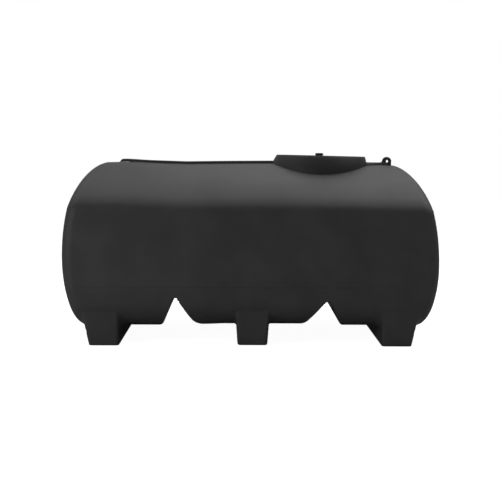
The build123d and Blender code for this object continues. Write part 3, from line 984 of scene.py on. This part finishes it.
class Wire:
    """The output of a shader node, with arithmetic that adds Math nodes."""

    def __init__(self, graph: Graph, socket: bpy.types.NodeSocket) -> None:
        """Keeps the graph and the socket."""
        self.graph = graph
        self.socket = socket

    def math(self, operation: str, *others: Wire | float) -> Wire:
        """A Math node with this as its first value."""
        inputs = {index: value for index, value in enumerate((self, *others))}
        return self.graph.node("ShaderNodeMath", {"operation": operation}, inputs)

    def __add__(self, other: Wire | float) -> Wire:
        """This plus other."""
        return self.math("ADD", other)

    def __radd__(self, other: float) -> Wire:
        """Other plus this."""
        return self.math("ADD", other)

    def __sub__(self, other: Wire | float) -> Wire:
        """This less other."""
        return self.math("SUBTRACT", other)

    def __rsub__(self, other: float) -> Wire:
        """Other less this."""
        return self.math("MULTIPLY", -1.0).math("ADD", other)

    def __mul__(self, other: Wire | float) -> Wire:
        """This times other."""
        return self.math("MULTIPLY", other)

    def __rmul__(self, other: float) -> Wire:
        """Other times this."""
        return self.math("MULTIPLY", other)

    def __truediv__(self, other: Wire | float) -> Wire:
        """This by other."""
        return self.math("DIVIDE", other)

    def size(self) -> Wire:
        """This without its sign."""
        return self.math("ABSOLUTE")

    def between(self, low: float, high: float) -> Wire:
        """A smooth step from nought at low to one at high."""
        inputs = {"Value": self, "From Min": low, "From Max": high, "To Min": 0.0, "To Max": 1.0}
        return self.graph.node("ShaderNodeMapRange", {"interpolation_type": "SMOOTHSTEP"}, inputs)

    def mix(self, first: Row, second: Row) -> Wire:
        """The first colour where this is nought and the second where it is one."""
        settings = {"data_type": "RGBA", "clamp_factor": True}
        return self.graph.node("ShaderNodeMix", settings, {0: self, 6: first, 7: second}, 2)


class Graph:
    """The nodes of one material or world."""

    def __init__(self, tree: bpy.types.NodeTree) -> None:
        """Empties the tree."""
        self.tree = tree
        tree.nodes.clear()

    def node(
        self, kind: str, settings: dict[str, object], inputs: dict[int | str, object], output: int | str = 0
    ) -> Wire:
        """Adds a node.

        Args:
            kind: type of the node.
            settings: its properties.
            inputs: values or wires for its sockets, by number or name.
            output: the output that is handed back.

        Returns:
            The wire from that output.
        """
        made = self.tree.nodes.new(kind)
        for key, value in settings.items():
            setattr(made, key, value)
        for key, value in inputs.items():
            if isinstance(value, Wire):
                self.tree.links.new(value.socket, made.inputs[key])
            else:
                made.inputs[key].default_value = value
        return Wire(self, made.outputs[output] if made.outputs else None)

    def noise(self, place: Wire, scale: float, detail: float, roughness: float) -> Wire:
        """A noise over a place."""
        inputs = {"Vector": place, "Scale": scale, "Detail": detail, "Roughness": roughness}
        return self.node("ShaderNodeTexNoise", {}, inputs)

    def surface(self, inputs: dict[int | str, object]) -> None:
        """Ends a material with one surface."""
        surface = self.node("ShaderNodeBsdfPrincipled", {}, inputs)
        self.node("ShaderNodeOutputMaterial", {}, {"Surface": surface})


def grey(level: float) -> tuple[float, float, float, float]:
    """An opaque grey."""
    return (level, level, level, 1.0)


class Grain(Enum):
    """How coarse the moulded texture of a finish is."""

    SMOOTH = 0.0
    FINE = 0.6
    MOULDED = 1.0


@dataclass(frozen=True)
class Finish:
    """A black plastic or rubber finish with a soft sheen.

    Cloud, grit and swell are noises: scale, detail and roughness.
    """

    name: str
    colour: Triple = (0.0432, 0.0430, 0.0434)
    roughness: float = 0.58
    specular: float = 0.30
    grain: Grain = Grain.MOULDED
    parting_z: float | None = None
    line_half: float = 0.0045
    line_height: float = 0.0016
    cloud: Triple = (3.2, 3.0, 0.5)
    grit: Triple = (210.0, 4.0, 0.6)
    swell: Triple = (7.0, 1.0, 0.4)
    mottle: float = 0.14
    grit_height: float = 0.00022
    swell_height: float = 0.0012
    gloss_spread: float = 0.10

    def build(self) -> bpy.types.Material:
        """Makes the material, with mottled colour, grained roughness and the mould line if it has one.

        The bump's height is the grit's and the swell's, both times the grain, plus a bead round the mould
        line that falls off smoothly over half its width.

        Returns:
            The material.
        """
        material = bpy.data.materials.new(self.name)
        material.use_nodes = True
        graph = Graph(material.node_tree)
        place = graph.node("ShaderNodeTexCoord", {}, {}, "Object")
        cloud, grit, swell = (graph.noise(place, *noise) for noise in (self.cloud, self.grit, self.swell))
        dull = tuple((1 - self.mottle) * part for part in self.colour) + (1.0,)
        lively = tuple((1 + self.mottle) * part for part in self.colour) + (1.0,)
        grain = self.grain.value
        height = grit * (self.grit_height * grain) + swell * (self.swell_height * grain)
        if self.parting_z is not None:
            level = graph.node("ShaderNodeSeparateXYZ", {}, {"Vector": place}, "Z")
            bead = 1.0 - (level - self.parting_z).size().between(0.0, self.line_half)
            height = height + bead * self.line_height
        graph.surface(
            {
                "Base Color": cloud.between(0.25, 0.75).mix(dull, lively),
                "Roughness": self.roughness + (grit - 0.5) * self.gloss_spread,
                "Specular IOR Level": self.specular,
                "Normal": graph.node("ShaderNodeBump", {}, {"Strength": 1.0, "Distance": 1.0, "Height": height}),
            }
        )
        return material


# --- studio


@dataclass
class Softbox:
    """One square or oblong area light that looks at a point."""

    name: str
    place: Triple
    aim: Triple
    width: float
    height: float
    radiance: float

    def build(self) -> None:
        """Adds the light; its power is radiance times pi times its area."""
        lamp = bpy.data.lights.new(self.name, "AREA")
        lamp.shape = "RECTANGLE"
        lamp.size = self.width
        lamp.size_y = self.height
        lamp.energy = self.radiance * math.pi * self.width * self.height
        light = bpy.data.objects.new(self.name, lamp)
        way = Vector(self.aim) - Vector(self.place)
        light.matrix_world = Matrix.Translation(self.place) @ way.to_track_quat("-Z", "Y").to_matrix().to_4x4()
        light.visible_camera = False
        bpy.context.scene.collection.objects.link(light)


@dataclass
class Studio:
    """White surroundings: a floor that keeps a soft shadow, a white backdrop and softboxes."""

    surround: float = 0.135
    floor_shade: float = 0.50
    floor_lift: float = 0.96
    floor_size: float = 40.0
    boxes: tuple[Softbox, ...] = (
        Softbox("backdrop", (0.5, 6.5, 3.0), (0.0, 0.0, 1.0), 14.0, 5.6, 0.31),
        Softbox("overhead", (1.1, 0.8, 4.4), (0.4, 0.2, 0.6), 5.6, 3.0, 1.58),
        Softbox("ceiling", (0.2, 0.6, 5.4), (0.2, 0.0, 0.6), 9.0, 3.6, 1.08),
        Softbox("top_left", (-2.4, 0.2, 3.8), (-0.8, 0.0, 0.8), 2.5, 2.5, 0.83),
        Softbox("top_right", (2.8, 0.2, 3.8), (0.8, 0.0, 0.8), 2.5, 2.5, 1.67),
        Softbox("left_fill", (-3.6, -2.8, 1.2), (-0.6, 0.0, 0.6), 2.0, 2.0, 3.17),
        Softbox("right_fill", (3.6, -2.8, 1.2), (0.6, 0.0, 0.6), 2.0, 2.0, 0.30),
        Softbox("front_low", (0.0, -6.0, 0.6), (0.0, 0.0, 0.5), 6.0, 1.2, 0.70),
    )

    def build(self) -> None:
        """Sets the world, the floor and the lights."""
        world = bpy.data.worlds.new("studio")
        bpy.context.scene.world = world
        world.use_nodes = True
        graph = Graph(world.node_tree)
        seen = graph.node("ShaderNodeLightPath", {}, {}, "Is Camera Ray")
        colour = seen.mix(grey(self.surround), grey(1.0))
        back = graph.node("ShaderNodeBackground", {}, {"Color": colour, "Strength": 1.0})
        graph.node("ShaderNodeOutputWorld", {}, {"Surface": back})
        half = self.floor_size / 2
        points = np.array([[-half, -half, 0.0], [half, -half, 0.0], [half, half, 0.0], [-half, half, 0.0]])
        floor = make_piece("floor", points, [np.array([[0, 1, 2, 3]])])
        material = bpy.data.materials.new("floor")
        material.use_nodes = True
        graph = Graph(material.node_tree)
        seen = graph.node("ShaderNodeLightPath", {}, {}, "Is Camera Ray")
        graph.surface(
            {
                "Base Color": grey(self.floor_shade),
                "Roughness": 1.0,
                "Specular IOR Level": 0.0,
                "Emission Color": seen.mix(grey(0.0), grey(self.floor_lift)),
                "Emission Strength": 1.0,
            }
        )
        floor.data.materials.append(material)
        for softbox in self.boxes:
            softbox.build()


@dataclass
class Viewpoint:
    """The photographer's place, found from the photograph."""

    place: Triple = (-0.0811, -7.0933, 1.2762)
    pitch: float = 0.0988
    roll: float = 0.0060
    yaw: float = -0.0114
    lens: float = 72.33
    sensor: float = 36.0

    def build(self) -> None:
        """Adds the camera: it looks along plus Y, turned by yaw, tipped down by pitch and rolled."""
        level = Vector((-math.sin(self.yaw), math.cos(self.yaw), 0.0))
        right = Vector((math.cos(self.yaw), math.sin(self.yaw), 0.0))
        ahead = math.cos(self.pitch) * level - Vector((0.0, 0.0, math.sin(self.pitch)))
        above = math.sin(self.pitch) * level + Vector((0.0, 0.0, math.cos(self.pitch)))
        across = math.cos(self.roll) * right + math.sin(self.roll) * above
        upward = math.cos(self.roll) * above - math.sin(self.roll) * right
        data = bpy.data.cameras.new("camera")
        data.lens = self.lens
        data.sensor_width = self.sensor
        camera = bpy.data.objects.new("camera", data)
        turn = Matrix((across, upward, -ahead)).transposed().to_4x4()
        camera.matrix_world = Matrix.Translation(self.place) @ turn
        bpy.context.scene.collection.objects.link(camera)
        bpy.context.scene.camera = camera


# --- assembly


UPPER_NODES = ("roof_left", "roof_centre", "roof_manhole", "front_wall", "rear_wall", "left_end", "right_end")
LOWER_NODES = (
    *("left_end_base", "left_belly", "left_groove", "centre_belly", "right_groove", "right_belly"),
    *("right_end_base", "left_foot", "middle_foot", "right_foot"),
)
RIDGE_LEFT_X = -0.917
RIDGE_APRON = 0.085
# How far the ridges reach into the neck.
NECK_BITE = 0.004


def dress(piece: Piece, material: bpy.types.Material, slot: str, *nodes: str) -> None:
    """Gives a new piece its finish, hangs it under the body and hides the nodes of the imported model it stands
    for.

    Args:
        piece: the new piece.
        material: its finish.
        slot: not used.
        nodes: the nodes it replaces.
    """
    piece.data.materials.append(material)
    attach(piece, BODY)
    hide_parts(*nodes)
    log.info("%s: %d faces", piece.name, len(piece.data.polygons))


def main() -> None:
    """Builds and dresses every piece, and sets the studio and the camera."""
    logging.basicConfig(level=logging.INFO, format="%(message)s")
    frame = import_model()
    body = MouldedBody()
    plastic = Finish("moulded_black", parting_z=body.parting_z).build()
    # Painted shade: the neck, the ridges and the lifting eye are the same black moulding as the body, given this
    # darker colour to stand in for the shade that falls on them.
    shaded_plastic = Finish("moulded_black_painted_shade", colour=(0.0250, 0.0249, 0.0251)).build()
    lid_plastic = Finish("lid_black", grain=Grain.FINE).build()
    dark = (0.018, 0.018, 0.018)
    rubber = Finish("gasket_rubber", colour=dark, roughness=0.7, grain=Grain.SMOOTH).build()

    upper, lower = body.build()
    dress(upper, plastic, "moulded_body", *UPPER_NODES)
    dress(lower, plastic, "moulded_body", *LOWER_NODES)
    collar = Collar()
    dress(collar.build(body), shaded_plastic, "moulded_body", "manhole_collar")
    ridge = Ridge()
    eye = LiftingEye()
    left_end = collar.centre_x - collar.shoulder_radius + NECK_BITE
    right_start = collar.centre_x + collar.shoulder_radius - NECK_BITE
    dress(ridge.build("ridge_left_skin", RIDGE_LEFT_X, left_end, True, body), shaded_plastic, "moulded_body", "ridge_left")
    right = Ridge(apron=RIDGE_APRON).build("ridge_right_skin", right_start, eye.hole_x, False, body)
    dress(right, shaded_plastic, "moulded_body", "ridge_right")
    dress(eye.build(), shaded_plastic, "moulded_body", "lifting_eye")
    lid = Lid()
    dress(lid.plate_piece(), lid_plastic, "lid", "manhole_lid")
    for piece, node in zip(lid.vent_pieces(), ("vent_stem", "vent_cap")):
        dress(piece, lid_plastic, "lid", node)
    for place in frame["nodes"]["lid_gasket"].material_slots:
        place.material = rubber

    Studio().build()
    Viewpoint().build()
    scene = bpy.context.scene
    scene.view_settings.view_transform = "Standard"


if __name__ == "__main__":
    main()
